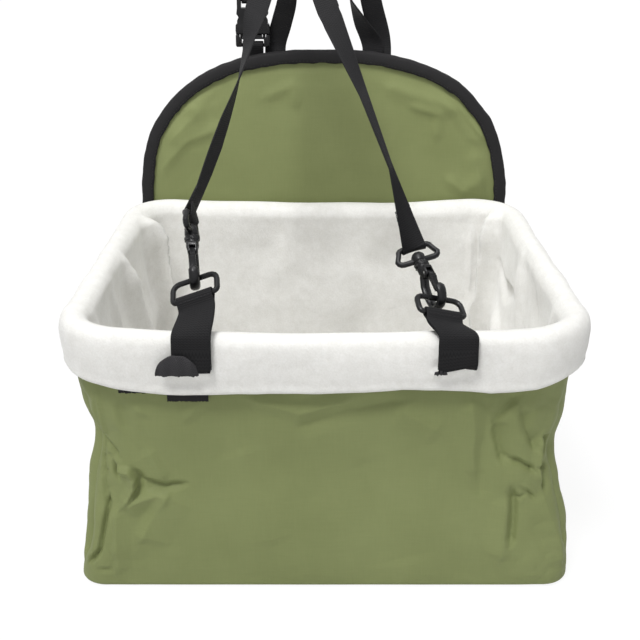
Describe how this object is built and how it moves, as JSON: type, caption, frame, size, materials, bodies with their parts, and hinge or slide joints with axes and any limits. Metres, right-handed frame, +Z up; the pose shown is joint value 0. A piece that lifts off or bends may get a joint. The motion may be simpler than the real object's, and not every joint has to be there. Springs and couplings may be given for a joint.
{
  "type": "dog car seat",
  "caption": "Soft booster basket for a small dog on a car seat: fleece-lined tub with a turned-out cuff, arched back panel, straps for the headrest with a buckle, and snap hooks on rim rings.",
  "frame": {"origin": "middle of the underside of the basket's floor", "axes": "+X to the right as seen from the front, -Y towards the front, +Z up"},
  "size_m": [0.4172, 0.3597, 0.5318],
  "materials": {
    "green_oxford": "woven, matt",
    "grey_board": "plain board, hidden",
    "bright_steel": "drawn wire",
    "pale_fleece": "soft short pile",
    "black_webbing": "ribbed weave",
    "black_plastic": "moulded, satin"
  },
  "bodies": {
    "seat": {"outer_shell": "green_oxford", "panel_front": "green_oxford", "panel_rear": "green_oxford", "base_board": "grey_board", "panel_board": "grey_board", "rim_frame": "bright_steel", "fleece_liner": "pale_fleece", "panel_binding": "black_webbing", "cuff_tape_outer": "black_webbing", "cuff_tape_inner": "black_webbing", "tab_left": "black_webbing", "tab_right": "black_webbing", "slit_facing_left": "black_webbing", "slit_facing_right": "black_webbing", "front_strap_left": "black_webbing", "front_strap_right": "black_webbing", "headrest_strap_lower": "black_webbing", "headrest_strap_upper": "black_webbing", "anchor_patch_left": "black_webbing", "anchor_patch_right": "black_webbing", "hook_eye_left": "black_plastic", "hook_eye_right": "black_plastic", "buckle_female": "black_plastic", "buckle_male": "black_plastic"},
    "ring_left": {"ring_left": "black_plastic"},
    "ring_right": {"ring_right": "black_plastic"},
    "hook_left": {"hook_body_left": "black_plastic", "gate_pin_left": "bright_steel"},
    "hook_right": {"hook_body_right": "black_plastic", "gate_pin_right": "bright_steel"},
    "gate_left": {"hook_gate_left": "black_plastic"},
    "gate_right": {"hook_gate_right": "black_plastic"},
    "slider_left": {"slider_left": "black_plastic"},
    "slider_right": {"slider_right": "black_plastic"},
    "prong_left": {"buckle_prong_left": "black_plastic"},
    "prong_right": {"buckle_prong_right": "black_plastic"}
  },
  "joints": [
    {"name": "ring_tip_left", "type": "hinge", "parent": "seat", "child": "ring_left", "pos_m": [-0.09893, -0.13339, 0.25224], "axis": [0.9237, -0.1045, 0.3687], "range_deg": [-2, 4]},
    {"name": "hook_swivel_left", "type": "hinge", "parent": "seat", "child": "hook_left", "pos_m": [-0.10413, -0.0914, 0.28686], "axis": [-0.0976, 0.7037, 0.7037], "range_deg": [-40, 10]},
    {"name": "gate_open_left", "type": "hinge", "parent": "hook_left", "child": "gate_left", "pos_m": [-0.10268, -0.10378, 0.28041], "axis": [0.9946, 0.0936, 0.0443], "range_deg": [0, 20], "stiffness_Nm_per_rad": 0.02, "springref_deg": -5.73},
    {"name": "slider_slide_left", "type": "slide", "parent": "seat", "child": "slider_left", "axis": [0.242, 0.6649, 0.7066], "range_m": [-0.014, 0.014]},
    {"name": "ring_tip_right", "type": "hinge", "parent": "seat", "child": "ring_right", "pos_m": [0.09008, -0.13792, 0.24009], "axis": [0.9363, 0.235, -0.2609], "range_deg": [-2, 3]},
    {"name": "hook_swivel_right", "type": "hinge", "parent": "seat", "child": "hook_right", "pos_m": [0.07606, -0.09085, 0.26443], "axis": [-0.309, 0.8152, 0.4898], "range_deg": [-14, 26]},
    {"name": "gate_open_right", "type": "hinge", "parent": "hook_right", "child": "gate_right", "pos_m": [0.0813, -0.10355, 0.26151], "axis": [0.9142, 0.3966, -0.0833], "range_deg": [0, 20], "stiffness_Nm_per_rad": 0.02, "springref_deg": -5.73},
    {"name": "slider_slide_right", "type": "slide", "parent": "seat", "child": "slider_right", "axis": [-0.3024, 0.5892, 0.7492], "range_m": [-0.014, 0.014]},
    {"name": "prong_squeeze_left", "type": "hinge", "parent": "seat", "child": "prong_left", "pos_m": [-0.0788, 0.18182, 0.3958], "axis": [0, 1, 0], "range_deg": [0, 9.5], "stiffness_Nm_per_rad": 0.05, "springref_deg": -2.86},
    {"name": "prong_squeeze_right", "type": "hinge", "parent": "seat", "child": "prong_right", "pos_m": [-0.0572, 0.18182, 0.3958], "axis": [0, 1, 0], "range_deg": [-9.5, 0], "stiffness_Nm_per_rad": 0.05, "springref_deg": 2.86}
  ],
  "couplings": [
    {"joint": "prong_squeeze_right", "follows": "prong_squeeze_left", "ratio": -1}
  ]
}
